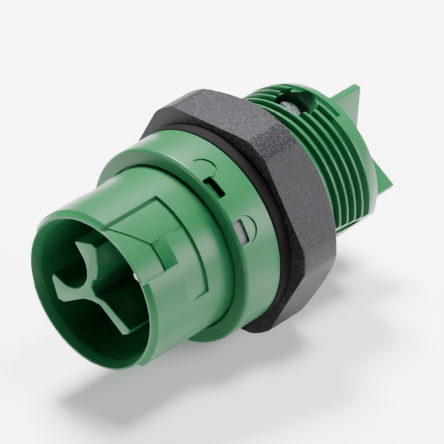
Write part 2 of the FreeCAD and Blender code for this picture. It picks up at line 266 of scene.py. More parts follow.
def turned(name: str, columns: Sequence[float], loop: Callable[[float], Loop]) -> Object:
    """Make a ring whose closed cross-section may change round the axis.

    Args:
        name: Name of the object.
        columns: Polar angles of the cross-sections, for a full turn.
        loop: Gives the cross-section at an angle as (radius, y) points.

    Returns:
        The ring.
    """
    sections = [loop(angle) for angle in columns]
    size = len(sections[0])
    points = [outward(a) * r + Y * y for a, section in zip(columns, sections) for r, y in section]
    faces = []
    for i in range(len(columns)):
        here, there = i * size, (i + 1) % len(columns) * size
        for j in range(size):
            k = (j + 1) % size
            faces.append((here + j, here + k, there + k, there + j))
    return solid(name, points, faces)


def capped(name: str, profile: Loop, count: int = 96) -> Object:
    """Make a turned solid from an open (radius, y) profile, closed flat at both ends."""
    points = [outward(a) * r + Y * y for r, y in profile for a in around(count)]
    faces = [list(range(count)), list(range(len(points) - count, len(points)))]
    for j in range(len(profile) - 1):
        for i in range(count):
            k = (i + 1) % count
            faces.append([j * count + i, j * count + k, (j + 1) * count + k, (j + 1) * count + i])
    return solid(name, points, faces)


def prism(name: str, outline: Loop, axes: Axes, depth: Point, place: Vector = ORIGIN) -> Object:
    """Make a straight solid from a flat outline.

    Args:
        name: Name of the object.
        outline: Outline points.
        axes: Directions of the outline's first and second number and of the depth.
        depth: Start and end along the third direction.
        place: Origin of the outline.

    Returns:
        The prism.
    """
    count = len(outline)
    points = [place + axes[0] * a + axes[1] * b + axes[2] * d for d in depth for a, b in outline]
    faces = [list(range(count)), list(range(count, 2 * count))]
    faces += [[i, (i + 1) % count, count + (i + 1) % count, count + i] for i in range(count)]
    return solid(name, points, faces)


def sector(name: str, radii: Point, ends: Point, angles: Point) -> Object:
    """Make part of a ring between two radii, two axial positions and two polar angles."""
    columns = spread(angles, 2.0)
    corners = oblong((radii[0], ends[0]), (radii[1], ends[1]))
    points = [outward(a) * r + Y * y for a in columns for r, y in corners]
    faces = [[0, 1, 2, 3], [len(points) - 4 + i for i in range(4)]]
    for i in range(len(columns) - 1):
        faces += [[4 * i + j, 4 * i + (j + 1) % 4, 4 * i + 4 + (j + 1) % 4, 4 * i + 4 + j] for j in range(4)]
    return solid(name, points, faces)


def baked(piece: Object) -> Object:
    """Turn a piece's modifiers into plain mesh."""
    graph = bpy.context.evaluated_depsgraph_get()
    mesh = bpy.data.meshes.new_from_object(piece.evaluated_get(graph), depsgraph=graph)
    piece.modifiers.clear()
    old, piece.data = piece.data, mesh
    mesh.name = piece.name
    bpy.data.meshes.remove(old)
    return piece


def worked(piece: Object, how: Cut, tools: Sequence[Object]) -> Object:
    """Cut a piece with solids, or join them onto it, and remove them.

    Args:
        piece: Piece to change.
        how: What the solids do.
        tools: The solids.

    Returns:
        The changed piece.
    """
    for tool in tools:
        step = piece.modifiers.new("cut", "BOOLEAN")
        step.operation = how.value
        step.solver = "EXACT"
        step.object = tool
        baked(piece)
        old = tool.data
        bpy.data.objects.remove(tool)
        bpy.data.meshes.remove(old)
    return piece


def edges_rounded(piece: Object, width: float, chosen: Callable[[Vector], bool]) -> Object:
    """Round some edges of a piece.

    Args:
        piece: Piece to change.
        width: Width of the rounding.
        chosen: Says of the middle of an edge whether that edge is rounded.

    Returns:
        The changed piece.
    """
    work = bmesh.new()
    work.from_mesh(piece.data)
    edges = [e for e in work.edges if chosen((e.verts[0].co + e.verts[1].co) / 2 / MM)]
    bmesh.ops.bevel(
        work, geom=edges, offset=width * MM, segments=4, profile=0.5, affect="EDGES", clamp_overlap=True
    )
    work.to_mesh(piece.data)
    work.free()
    return piece


def crisp(piece: Object, angle: float = 32.0) -> None:
    """Shade a piece smooth, with hard edges where its faces meet sharper than an angle."""
    work = bmesh.new()
    work.from_mesh(piece.data)
    bmesh.ops.remove_doubles(work, verts=work.verts, dist=1e-7)
    for face in work.faces:
        face.smooth = True
    limit = math.radians(angle)
    for edge in work.edges:
        edge.smooth = edge.calc_face_angle(math.pi) < limit
    work.to_mesh(piece.data)
    work.free()


def dressed(piece: Object, finish: Material, body: str, nodes: Sequence[str]) -> None:
    """Give a piece its finish and its place in the model.

    Args:
        piece: Finished piece.
        finish: Its material.
        body: Body that it rides on.
        nodes: CAD nodes that it stands for.
    """
    crisp(piece)
    piece.data.materials.clear()
    piece.data.materials.append(finish)
    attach(piece, body)
    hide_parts(*nodes)
    LOG.info("%s: %d faces on %s", piece.name, len(piece.data.polygons), body)


# Finishes


def add_node(tree: NodeTree, kind: str, inputs: Mapping[int | str, object], **settings: object) -> Node:
    """Add a node to a tree.

    Args:
        tree: Tree that gets the node.
        kind: Type of the node.
        inputs: Value, or socket to link from, for each input by number or name.
        **settings: Properties of the node.

    Returns:
        The node.
    """
    made = tree.nodes.new(kind)
    for key, value in settings.items():
        setattr(made, key, value)
    for key, value in inputs.items():
        if isinstance(value, NodeSocket):
            tree.links.new(value, made.inputs[key])
        else:
            made.inputs[key].default_value = value
    return made


@dataclass(frozen=True)
class Finish:
    """Surface made from a body colour, a speckle, a slow drift and a fine relief.

    The colours are the body's, the speckle's and the drift's. Grain and relief are millimetres. The
    roughness is its middle and its swing.
    """

    name: str
    colours: tuple[str, str, str]
    grain: float
    relief: float
    roughness: Point
    speckle_share: float = 0.5
    metallic: float = 0.0
    specular: float = 0.5
    stretch: tuple[float, float, float] = (1.0, 1.0, 1.0)
    drift_size: float = 9.0
    drift_limits: Point = (0.35, 0.65)
    speck_limits: Point = (0.46, 0.68)
    shine_limits: Point = (0.3, 0.7)

    def material(self) -> Material:
        """Build the material.

        Returns:
            The material, with every pattern on Object coordinates.
        """
        made = bpy.data.materials.new(self.name)
        made.use_nodes = True
        tree = made.node_tree
        shader = tree.nodes["Principled BSDF"]
        place = add_node(tree, "ShaderNodeTexCoord", {}).outputs["Object"]
        spot = add_node(tree, "ShaderNodeMapping", {0: place, 3: self.stretch}).outputs[0]
        fine = {0: spot, "Scale": 1 / (self.grain * MM), "Detail": 3.0, "Roughness": 0.6}
        grain = add_node(tree, "ShaderNodeTexNoise", fine).outputs[0]
        coarse = {0: place, "Scale": 1 / (self.drift_size * MM), "Detail": 2.0}
        slow = add_node(tree, "ShaderNodeTexNoise", coarse).outputs[0]

        def ranged(value: NodeSocket, limits: Point, results: Point) -> NodeSocket:
            """Value as it runs between two limits, given between two results."""
            inputs = dict(enumerate((value, *limits, *results)))
            return add_node(tree, "ShaderNodeMapRange", inputs).outputs[0]

        def mixed(share: NodeSocket, first: object, second: object) -> NodeSocket:
            """Mix of two colours."""
            inputs = {0: share, 6: first, 7: second}
            return add_node(tree, "ShaderNodeMix", inputs, data_type="RGBA").outputs[2]

        colour, speckle, drift = (linear(code) for code in self.colours)
        body = mixed(ranged(slow, self.drift_limits, (0.0, 1.0)), colour, drift)
        specks = ranged(grain, self.speck_limits, (0.0, self.speckle_share))
        middle, swing = self.roughness
        relief = {"Strength": 1.0, "Distance": self.relief * MM, "Height": grain}
        driven = {
            "Base Color": mixed(specks, body, speckle),
            "Roughness": ranged(grain, self.shine_limits, (middle - swing, middle + swing)),
            "Normal": add_node(tree, "ShaderNodeBump", relief).outputs[0],
        }
        for name, result in driven.items():
            tree.links.new(result, shader.inputs[name])
        shader.inputs["Metallic"].default_value = self.metallic
        if self.metallic == 0:
            shader.inputs["Specular IOR Level"].default_value = self.specular
        return made


# Injection-moulded polyamide 66 from a fine spark-eroded tool: a clear mid green with a silky, slightly
# uneven shine and a grain almost too fine to count, 0.12 mm across.
GREEN_POLYAMIDE = Finish(
    name="moulded_green_polyamide",
    colours=("#164a2a", "#1e5431", "#134426"),
    grain=0.12,
    relief=0.006,
    roughness=(0.34, 0.06),
    specular=0.12,
)
# Glass-filled black polyamide from a rougher tool: fibres near the skin break its sheen into a grey grain.
BLACK_POLYAMIDE = Finish(
    name="glass_filled_black_polyamide",
    colours=("#0a090b", "#3a383d", "#08070a"),
    grain=0.22,
    speckle_share=0.7,
    relief=0.02,
    roughness=(0.54, 0.12),
    specular=0.12,
)
# Black nitrile rubber, punched from sheet: near black and dull.
GASKET_RUBBER = Finish(
    name="punched_black_nitrile",
    colours=("#080707", "#110f0e", "#0a0909"),
    grain=0.3,
    speckle_share=0.6,
    relief=0.012,
    roughness=(0.75, 0.08),
    specular=0.06,
)
# Moulded silicone: smooth and satin.
SEAL_RUBBER = Finish(
    name="moulded_silicone",
    colours=("#3a3a3c", "#4a4a4c", "#343436"),
    grain=0.2,
    speckle_share=0.4,
    relief=0.004,
    roughness=(0.45, 0.06),
)
# Moulded acetal: an even mid grey with a dull, waxy shine.
GREY_ACETAL = Finish(
    name="moulded_grey_acetal",
    colours=("#47474b", "#505054", "#424246"),
    grain=0.15,
    speckle_share=0.4,
    relief=0.004,
    roughness=(0.5, 0.05),
    specular=0.1,
)
# Silver-plated brass, turned: a bright white metal with faint turning lines round the pin.
SILVERED_BRASS = Finish(
    name="silver_plated_brass",
    colours=("#e6e4de", "#d2cfc6", "#dcd9d0"),
    grain=0.35,
    speckle_share=0.4,
    relief=0.002,
    roughness=(0.22, 0.06),
    metallic=1.0,
    stretch=(0.3, 3.0, 0.3),
)
# Nickel-plated brass, pressed and tumbled: greyer and duller than the pin.
NICKEL_PLATE = Finish(
    name="nickel_plated_brass",
    colours=("#bdb8ae", "#a39f97", "#b4afa5"),
    grain=0.25,
    relief=0.006,
    roughness=(0.34, 0.08),
    metallic=1.0,
)
# Zinc-plated, blue-passivated steel: a cool metal, cloudy at the scale of a third of a millimetre.
ZINC_PLATE = Finish(
    name="blue_zinc_plated_steel",
    colours=("#b9c3cf", "#8f9aa8", "#c6cdd4"),
    grain=0.3,
    speckle_share=0.6,
    relief=0.005,
    roughness=(0.3, 0.1),
    metallic=1.0,
)
# Rolled spring steel strip: grey, with fine lines along its length.
SPRING_STEEL = Finish(
    name="rolled_spring_steel",
    colours=("#a5a6a8", "#8c8d90", "#9b9c9e"),
    grain=0.2,
    relief=0.002,
    roughness=(0.28, 0.06),
    metallic=1.0,
    stretch=(2.0, 0.25, 2.0),
)
# Matt white paper under the connector.
MATT_PAPER = Finish(
    name="matt_paper",
    colours=("#fdfdfc", "#ffffff", "#fbfbfa"),
    grain=2.0,
    speckle_share=0.3,
    relief=0.01,
    roughness=(0.9, 0.03),
)


# Thread


@dataclass
class ThreadTree:
    """Geometry Nodes tree that winds a rounded ridge round the Y axis."""

    lengths: tuple[str, ...] = (
        "Crest radius", "Root radius", "Crest width", "Root width", "Pitch", "Start"
    )
    squareness: float = 0.45
    tree: NodeTree = field(init=False)
    sockets: dict[str, str] = field(init=False, default_factory=dict)

    def __post_init__(self) -> None:
        """Build the tree."""
        self.tree = bpy.data.node_groups.new("wound_ridge", "GeometryNodeTree")
        face = self.tree.interface
        kinds = {name: "Float" for name in (*self.lengths, "Turns", "Run-in turns")}
        kinds |= {"Steps": "Int", "Section points": "Int", "Material": "Material"}
        for name, kind in kinds.items():
            made = face.new_socket(name, in_out="INPUT", socket_type=f"NodeSocket{kind}")
            self.sockets[name] = made.identifier
        face.new_socket("Geometry", in_out="OUTPUT", socket_type="NodeSocketGeometry")
        self.wire()

    def number(self, operation: str, *values: object) -> NodeSocket:
        """Add a number node and give its result."""
        inputs = dict(enumerate(values))
        return add_node(self.tree, "ShaderNodeMath", inputs, operation=operation).outputs[0]

    def squared_off(self, value: NodeSocket) -> NodeSocket:
        """Push a number between -1 and 1 towards its ends, so that a round section gets flat sides."""
        size = self.number("POWER", self.number("ABSOLUTE", value), self.squareness)
        return self.number("MULTIPLY", self.number("SIGN", value), size)

    def wire(self) -> None:
        """Link the nodes: a straight bar's points are wound into the ridge."""
        tree = self.tree
        given = add_node(tree, "NodeGroupInput", {}).outputs
        number = self.number
        counts = {"Vertices": given["Section points"], "Side Segments": given["Steps"]}
        bar = add_node(tree, "GeometryNodeMeshCylinder", {**counts, "Radius": 1.0, "Depth": 1.0})
        spot = add_node(tree, "GeometryNodeInputPosition", {})
        parts = add_node(tree, "ShaderNodeSeparateXYZ", {0: spot.outputs[0]}).outputs
        share = number("ADD", parts["Z"], 0.5)
        turns = number("MULTIPLY", share, given["Turns"])
        angle = number("MULTIPLY", turns, -2 * math.pi)
        # The bar's X runs along the ridge's width, and its Y up to the crest.
        side = self.squared_off(parts["X"])
        top = self.squared_off(parts["Y"])
        height = number("MULTIPLY_ADD", top, 0.5, 0.5)
        narrowing = number("SUBTRACT", given["Crest width"], given["Root width"])
        width = number("MULTIPLY_ADD", height, narrowing, given["Root width"])
        half = number("MULTIPLY", width, 0.5)
        nearest = number("MINIMUM", turns, number("SUBTRACT", given["Turns"], turns))
        rise = number("MINIMUM", number("DIVIDE", nearest, given["Run-in turns"]), 1.0)
        depth = number("SUBTRACT", given["Crest radius"], given["Root radius"])
        raised = number("MULTIPLY", number("MULTIPLY", height, depth), rise)
        radius = number("ADD", given["Root radius"], raised)
        along = number("MULTIPLY_ADD", turns, given["Pitch"], given["Start"])
        axial = number("MULTIPLY_ADD", side, half, along)
        across = number("MULTIPLY", radius, number("COSINE", angle))
        upward = number("MULTIPLY", radius, number("SINE", angle))
        wound = add_node(tree, "ShaderNodeCombineXYZ", {0: across, 1: axial, 2: upward}).outputs[0]
        placed = add_node(tree, "GeometryNodeSetPosition", {0: bar.outputs["Mesh"], "Position": wound})
        real = add_node(tree, "GeometryNodeRealizeInstances", {0: placed.outputs[0]}).outputs[0]
        coated = add_node(tree, "GeometryNodeSetMaterial", {0: real, "Material": given["Material"]})
        add_node(tree, "NodeGroupOutput", {0: coated.outputs[0]})

    def wound(self, name: str, sizes: Mapping[str, float], finish: Material) -> Object:
        """Make one ridge.

        Args:
            name: Name of the object.
            sizes: Value of each named input, lengths in millimetres.
            finish: Material of the ridge.

        Returns:
            The ridge as plain mesh.
        """
        mesh = bpy.data.meshes.new(name)
        piece = bpy.data.objects.new(name, mesh)
        bpy.context.scene.collection.objects.link(piece)
        step = piece.modifiers.new("thread", "NODES")
        step.node_group = self.tree
        for key, value in sizes.items():
            step[self.sockets[key]] = value * MM if key in self.lengths else value
        step[self.sockets["Material"]] = finish
        baked(piece)
        tidy_normals(piece)
        return piece


# Pieces


@dataclass
class Shroud:
    """Round front shroud with its three latch recesses."""

    rim_y: float = -14.83
    rear_y: float = 4.9
    bore_r: float = 10.1
    outer_r: float = 11.65
    rim_drop: float = 0.6
    chamfer: float = 0.7
    flare: float = 0.65
    flare_length: float = 1.2
    centres: tuple[float, ...] = (53.5, 173.5, 293.5)
    left: float = 24.5
    step: float = -1.9
    right: float = -22.5
    end: float = -50.5
    front_depth: float = 0.67
    lane_depth: float = 0.5
    pocket_depth: float = 0.42
    ramp_foot: float = -10.39
    ridge: float = -8.44
    back: float = -4.69
    slope: float = 0.69
    wall: float = 0.07
    fade: float = 5.0
    wall_rows: tuple[float, ...] = (-1, -0.6, -0.2, 0.2, 0.6, 1)
    column_step: float = 1.25
    row_step: float = 0.45

    def local(self, angle: float) -> float:
        """Angle from the nearest recess centre, between -60 and 60 degrees."""
        offsets = [(angle - centre + 180) % 360 - 180 for centre in self.centres]
        return min(offsets, key=abs)

    def lead_end(self, offset: float) -> float:
        """Axial place where the lead-in ends at an angle from the recess centre."""
        held = min(max(offset, self.step), self.left)
        run = self.outer_r * (math.sin(math.radians(held)) - math.sin(math.radians(self.step)))
        beyond = ease((offset - self.left - 1) / self.fade)
        return self.ramp_foot - self.slope * run * (1 - beyond)

    def row(self, y: float, offset: float) -> float:
        """Move a row of points so that one row follows the lead-in's slanted end.

        Args:
            y: Axial place of the row where nothing is slanted.
            offset: Angle from the recess centre.

        Returns:
            Axial place of the row's point.
        """
        land, foot, near = self.rim_y + self.chamfer, self.ramp_foot, 2 * self.wall
        end, rear = self.lead_end(offset), self.back - near
        close = min(near, 0.6 * (end - land))
        plain = (land, foot - near, foot, foot + near, rear)
        moved = (land, end - close, end, end + near, rear)
        for i in range(4):
            if plain[i] < y <= plain[i + 1]:
                share = (y - plain[i]) / (plain[i + 1] - plain[i])
                return moved[i] + share * (moved[i + 1] - moved[i])
        return y

    def inside(self, value: float, low: float, high: float, size: float) -> float:
        """How far a value lies between two walls, from 0 outside to 1 inside, over the walls' width."""
        return ease((value - low) / size + 0.5) * ease((high - value) / size + 0.5)

    def radius(self, offset: float, y: float) -> float:
        """Radius of the outside at an angle from the recess centre and an axial place."""
        outer = self.outer_r - self.rim_drop * max(0.0, (self.rim_y + self.chamfer - y) / self.chamfer)
        wall = 2 * self.wall
        turn = math.degrees(wall / self.outer_r)
        ahead = 2 * self.rim_y
        foot = self.lead_end(offset)
        share = (y - self.ramp_foot) / (self.ridge - self.ramp_foot)
        sunk = (y - self.ridge) / (self.back - self.ridge)
        lane = self.inside(offset, self.step, self.left, turn)
        front = self.inside(offset, self.right, self.left, turn)
        ramp = self.inside(offset, self.right, self.step, turn) * float(0 <= share <= 1)
        pocket = self.inside(offset, self.end, self.step, turn) * float(sunk >= 0)
        open_end = self.inside(y, ahead, self.back, wall)
        floors = [
            (self.lane_depth, lane * open_end),
            (self.front_depth, front * self.inside(y, ahead, foot, wall)),
            (self.front_depth * (1 - share), ramp),
            (self.pocket_depth * sunk, pocket * open_end),
        ]
        return min(outer + part * min(0.0, self.outer_r - depth - outer) for depth, part in floors)

    def build(self) -> Object:
        """Build the shroud.

        Returns:
            The closed shroud.
        """
        across = math.degrees(self.wall / self.outer_r)
        marks = [0.0, 360.0]
        for centre in self.centres:
            for edge in (self.left, self.step, self.right, self.end):
                marks += [(centre + edge + k * across) % 360 for k in self.wall_rows]
        columns = spread(marks, self.column_step)[:-1]
        land = self.rim_y + self.chamfer
        rows = [self.rim_y + 0.06, land - 0.08, land, land + 0.08, self.rear_y]
        for edge in (self.ramp_foot, self.back):
            rows += [edge + k * self.wall for k in self.wall_rows]
        rows += [self.ridge - 0.1, self.ridge, self.ridge + 0.1]
        rows = spread(rows, self.row_step)
        rim, flared = self.rim_y, self.rim_y + self.flare_length
        bore, mouth = self.bore_r, self.bore_r + self.flare

        def section(angle: float) -> Loop:
            """Cross-section of the shroud at a polar angle."""
            offset = self.local(angle)
            skin = [(self.radius(offset, self.row(y, offset)), self.row(y, offset)) for y in rows]
            lip = skin[0][0]
            inner = [(bore, self.rear_y), (bore, flared + 0.1), (bore + 0.03, flared - 0.05)]
            flare = [(mouth - 0.06, rim + 0.12), (mouth - 0.01, rim + 0.03), (mouth + 0.05, rim)]
            return skin + inner + flare + [(lip - 0.07, rim), (lip - 0.015, rim + 0.015)]

        return turned("housing_shroud", columns, section)


@dataclass
class Collar:
    """Collar with the two padlock windows and the channel of the lock slide."""

    inner_r: float = 11.5
    groove_r: float = 11.88
    groove_depth: float = 0.8
    outer_r: float = 14.08
    length: float = 6.51
    edge_r: float = 0.5
    channel: Point = (12.9, 13.72)
    channel_angles: Point = (18.0, 71.4)
    window: Point = (3.34, 1.65)
    window_setback: float = 0.31
    window_corner: float = 0.3
    window_floor: float = 13.3
    window_angles: Point = (30.7, 58.7)
    bow_r: float = 1.75
    bow_width: float = 0.36
    bow_depth: float = 0.26
    bow_angles: Point = (30.7, 70.9)
    facets: int = 288

    def build(self) -> Object:
        """Build the collar.

        Returns:
            The closed collar.
        """
        outer, edge = self.outer_r, self.edge_r
        rise = [math.radians(t) for t in range(0, 91, 15)]
        profile = [
            (self.inner_r, self.groove_depth),
            (self.groove_r, self.groove_depth),
            (self.groove_r, 0.1),
            (self.groove_r + 0.1, 0.0),
            *[(outer - edge * (1 - math.sin(t)), edge * (1 - math.cos(t))) for t in rise],
            (outer, self.length - 0.12),
            (outer - 0.12, self.length),
            (self.inner_r, self.length),
        ]
        collar = turned("housing_collar", around(self.facets), lambda angle: profile)
        front, rear = self.window_setback, self.window_setback + self.window[1]
        half = self.window[0] / 2
        window = rounded(oblong((-half, front), (half, rear)), self.window_corner)
        bow_floor = self.outer_r - self.bow_depth
        tools = [sector("channel", self.channel, (front, self.length + 1), self.channel_angles)]
        for angle in self.window_angles:
            tools.append(prism("window", window, facing(angle), (self.window_floor, BEYOND)))
        for angle in self.bow_angles:
            tools.append(prism("bow", self.bow_outline(), facing(angle), (bow_floor, BEYOND), Y * rear))
        return worked(collar, Cut.AWAY, tools)

    def bow_outline(self) -> list[Point]:
        """Half ring behind a window, the bow of its padlock mark."""
        outer, inner = self.bow_r + self.bow_width / 2, self.bow_r - self.bow_width / 2
        turns = [math.pi * i / 24 for i in range(25)]
        return arc(outer, turns) + arc(inner, turns[::-1])


@dataclass
class Tube:
    """Threaded tube with its ledge, side flat, screw-access holes and end cone."""

    crest_r: float = 12.3
    root_r: float = 11.42
    bore_r: float = 9.15
    ledge_r: float = 8.3
    neck_r: float = 11.0
    floor_y: float = 4.51
    ledge_rear: float = 6.01
    start_y: float = 6.3
    thread_y: float = 8.35
    end_angle: float = 60.0
    cone_y: float = 26.41
    end_y: float = 28.81
    cone_r: float = 11.5
    pitch: float = 1.5
    crest_width: float = 0.42
    root_width: float = 0.78
    crest_y: float = 26.35
    turns: int = 12
    run_in: float = 0.08
    run_out: float = 0.09
    ridge_sink: float = 0.25
    hole_r: float = 2.75
    hole_start: float = 3.5
    flat_angle: float = -44.0
    flat_r: float = 9.55
    flat_start: float = 19.51
    flat_taper: float = 5.7
    flat_far: float = 32.0
    flat_half: float = 20.0
    column_step: float = 1.25

    def cutters(self) -> list[Object]:
        """Cutters of the three screw-access holes and of the side flat."""
        hole, depth = circle(self.hole_r, 72), (self.hole_start, BEYOND)
        made = [prism("hole", hole, pole.screw_axes, depth, pole.place + Y * SCREW_Y) for pole in Pole]
        start, far, half = self.flat_start, self.flat_far, self.flat_half
        rise = (far - start) * math.tan(math.radians(self.flat_taper))
        outline = [(self.flat_r, start), (half, start), (half, far), (self.flat_r + rise, far)]
        return [*made, prism("flat", outline, crossing(self.flat_angle), (-half, half))]

    def outside(self, y: float) -> float:
        """Radius of the crests and of the end cone at an axial place."""
        share = max(0.0, (y - self.cone_y) / (self.end_y - self.cone_y))
        return self.crest_r + share * (self.cone_r - self.crest_r)

    def section(self, angle: float) -> Loop:
        """Cross-section of the tube, with its land starting where the last groove ends."""
        turn = (self.end_angle - angle) % 360 / 360
        land = self.crest_y - self.pitch * (self.end_angle / 360 - turn) - self.crest_width / 2
        foot = (self.root_width - self.crest_width) / 2
        cone = max(self.cone_y, land + 0.2)
        bore, end = self.bore_r, self.end_y
        return [
            (self.crest_r, self.start_y),
            (self.crest_r, self.thread_y),
            (self.root_r, self.thread_y + foot),
            (self.root_r, land - foot - 0.1),
            (self.root_r + 0.1, land - foot),
            (self.outside(land) - 0.08, land),
            (self.outside(land + 0.03) - 0.02, land + 0.03),
            (self.outside(land + 0.1), land + 0.1),
            (self.outside(cone), cone),
            (self.cone_r + 0.1, end - 0.3),
            (self.cone_r, end - 0.05),
            (self.cone_r - 0.1, end),
            (bore + 0.12, end),
            (bore, end - 0.12),
            (bore, self.ledge_rear),
            (self.ledge_r, self.ledge_rear),
            (self.ledge_r, self.floor_y),
            (self.neck_r, self.floor_y),
            (self.neck_r, self.start_y),
        ]

    def build(self) -> Object:
        """Build the tube without its ridges.

        Returns:
            The closed tube.
        """
        columns = spread([0.0, self.end_angle, self.end_angle + 0.3, 360.0], self.column_step)[:-1]
        tube = turned("housing_tube", columns, self.section)
        return worked(tube, Cut.AWAY, self.cutters())

    def ridges(self, thread: ThreadTree, finish: Material) -> Object:
        """Build the thread's ridge.

        Args:
            thread: Tree that winds the ridge.
            finish: Material of the ridge.

        Returns:
            The closed ridge, cut by the holes and the flat.
        """
        sizes = {
            "Crest radius": self.crest_r,
            "Root radius": self.root_r - self.ridge_sink,
            "Crest width": self.crest_width,
            "Root width": self.root_width,
            "Pitch": self.pitch,
            "Start": self.crest_y - self.turns * self.pitch,
            "Turns": self.turns - self.end_angle / 360 + self.run_out,
            "Run-in turns": self.run_in,
            "Steps": 144 * self.turns,
            "Section points": 12,
        }
        ridge = thread.wound("housing_thread", sizes, finish)
        return worked(ridge, Cut.AWAY, self.cutters())


@dataclass
class LockNut:
    """Hexagon nut with soft corners."""

    flats_angle: float = 31.6
    flat: float = 15.2
    corner_r: float = 16.6
    front: float = 8.46
    rear: float = 16.31
    bore_r: float = 12.36
    mouth: float = 0.6
    chamfer: float = 0.2
    front_drop: float = 0.16
    front_slope: float = 2.0
    rear_r: float = 15.0
    rear_chamfer: float = 1.5
    soft: float = 0.2
    row_step: float = 0.08
    facets: int = 600

    def build(self) -> Object:
        """Build the nut.

        Returns:
            The closed nut.
        """
        marks = [self.front, self.front + self.chamfer, self.rear - self.rear_chamfer, self.rear]
        plain = (self.front + 4 * self.chamfer, self.rear - 2 * self.rear_chamfer)
        rows = spread([*marks, *plain], self.row_step)
        rows = [y for y in rows if y in marks or y < plain[0] or y > plain[1]]
        bore, wide = self.bore_r, self.bore_r + self.mouth
        inner = [(wide, self.rear), (bore, self.rear - self.mouth)]
        inner += [(bore, self.front + self.mouth), (wide, self.front)]

        def section(angle: float) -> Loop:
            """Cross-section of the nut at a polar angle."""
            off = (angle - self.flats_angle + 30) % 60 - 30
            face = self.flat / math.cos(math.radians(off))
            side = soft_min(face, self.corner_r, self.soft)
            skin = []
            for y in rows:
                front = self.corner_r - self.front_drop + self.front_slope * (y - self.front)
                back = self.rear_r + (self.corner_r - self.rear_r) * (self.rear - y) / self.rear_chamfer
                skin.append((soft_min(side, min(front, back), self.soft), y))
            return skin + inner

        return turned("lock_nut_body", around(self.facets), section)


@dataclass
class Gasket:
    """Flat rubber ring between the collar and the nut."""

    inner_r: float = 12.4
    outer_r: float = 14.25
    front: float = 6.51
    rear: float = 8.44
    edge_r: float = 0.35
    facets: int = 240

    def build(self) -> Object:
        """Build the gasket.

        Returns:
            The closed ring.
        """
        corners = oblong((self.inner_r, self.front), (self.outer_r, self.rear))
        outline = rounded(corners, self.edge_r, 6)
        return turned("panel_gasket_ring", around(self.facets), lambda angle: outline)


@dataclass
class Carrier:
    """Insert with the Y-shaped partition that stands in the shroud."""

    body_r: float = 9.1
    neck_r: float = 8.25
    front: float = 4.51
    step_y: float = 6.01
    rear: float = 20.71
    partition_front: float = -14.53
    seal_y: float = 12.51
    seal_floor: float = 7.89
    seal_half: float = 0.67
    bore_r: float = 1.47
    flange_r: float = 2.12
    flange_front: float = 19.09
    key_angle: float = 250.0
    key_r: float = 8.95
    key_half: float = 1.15
    key_start: float = 4.0
    edge_r: float = 0.2
    jaw: tuple[Point, Point, Point] = ((-4.95, -0.9), (-1.15, 1.2), (-1.75, 5.2))
    side: tuple[Point, ...] = (
        (-2.85, 6.5), (-2.8, 6.85), (0.1, 7.73), (1.0, 7.4), (1.22, 3.98),
        (0.97, 2.6), (0.2, 1.9), (0.0, 0.87), (0.7, -0.2), (2.37, -0.3),
        (6.85, -2.75), (6.5, -3.55), (5.5, -4.15), (1.41, -1.25), (-0.08, -1.3),
        (-1.57, -1.65), (-5.22, -3.86), (-6.35, -3.82), (-7.37, -0.9), (-7.04, -0.1),
    )

    def jaw_points(self, count: int = 24) -> list[Point]:
        """Points of the arc round the left contact, through the jaw's three points."""
        first, middle, last = (complex(*point) for point in self.jaw)
        slant = (last - first) / (middle - first)
        centre = first + (middle - first) * (slant - abs(slant) ** 2) / (2j * slant.imag)
        spoke = first - centre
        sweep = cmath.phase((middle - centre) / spoke) + cmath.phase((last - centre) / (middle - centre))
        spots = [centre + spoke * cmath.exp(1j * sweep * i / count) for i in range(count + 1)]
        return [(spot.real, spot.imag) for spot in spots]

    def partition(self) -> Object:
        """Build the partition with its front edges rounded."""
        outline = self.jaw_points()[:-1] + [self.jaw[2]] + list(self.side)
        made = prism("partition", outline, (X, Z, Y), (self.partition_front, self.step_y - 0.5))
        return edges_rounded(made, self.edge_r, lambda middle: abs(middle.y - self.partition_front) < NEAR)

    def build(self) -> Object:
        """Build the carrier.

        Returns:
            The closed carrier.
        """
        body, before, after = self.body_r, self.seal_y - self.seal_half, self.seal_y + self.seal_half
        neck = [(self.neck_r, self.front), (self.neck_r, self.step_y), (body, self.step_y)]
        groove = [(body, before), (self.seal_floor, before), (self.seal_floor, after), (body, after)]
        made = capped("contact_carrier_insert", [*neck, *groove, (body, self.rear)])
        outline = oblong((-self.key_half, self.front), (self.key_half, self.step_y + 0.5))
        key = prism("key", outline, facing(self.key_angle), (self.key_start, self.key_r))
        worked(made, Cut.ONTO, [key, self.partition()])
        tools = []
        for pole in Pole:
            for radius, start in ((self.bore_r, -BEYOND), (self.flange_r, self.flange_front)):
                tools.append(prism("bore", circle(radius, 40), (X, Z, Y), (start, self.rear + 1), pole.place))
        return worked(made, Cut.AWAY, tools)


